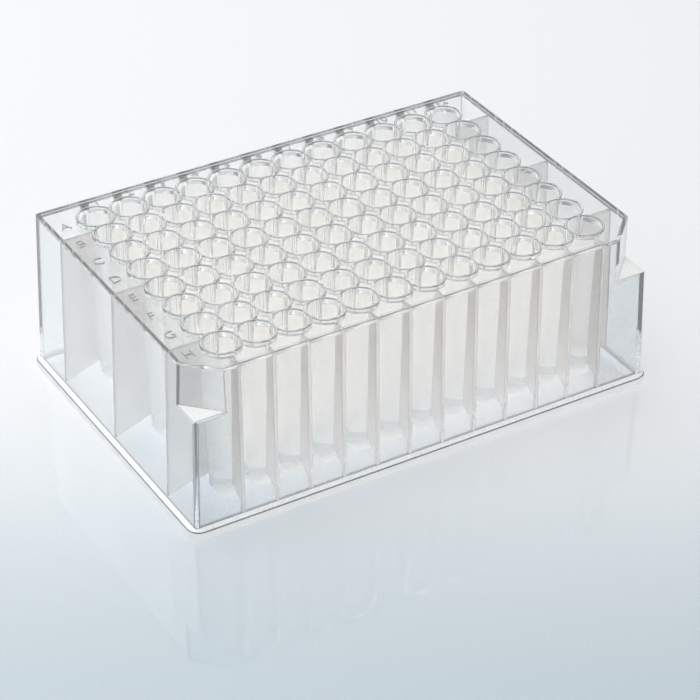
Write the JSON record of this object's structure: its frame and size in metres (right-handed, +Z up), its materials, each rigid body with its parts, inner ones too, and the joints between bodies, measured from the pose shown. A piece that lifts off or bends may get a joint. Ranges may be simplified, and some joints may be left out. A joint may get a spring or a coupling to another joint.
{
  "type": "well plate",
  "caption": "Clear one-piece deep-well plate: a grid of round-bottomed wells in a ribbed open-based block with a standard base flange and two cut corners.",
  "frame": {"origin": "centre of the base flange's outline, on the surface that the plate stands on", "axes": "+X along the length from column 1 to column 12, +Y across the width from row H to row A, +Z up out of the wells"},
  "size_m": [0.1278, 0.0854, 0.044],
  "materials": {
    "clear_plastic": "clear, glossy, very slightly frosted by the mould"
  },
  "bodies": {
    "root": {"well_plate": "clear_plastic"}
  },
  "joints": []
}
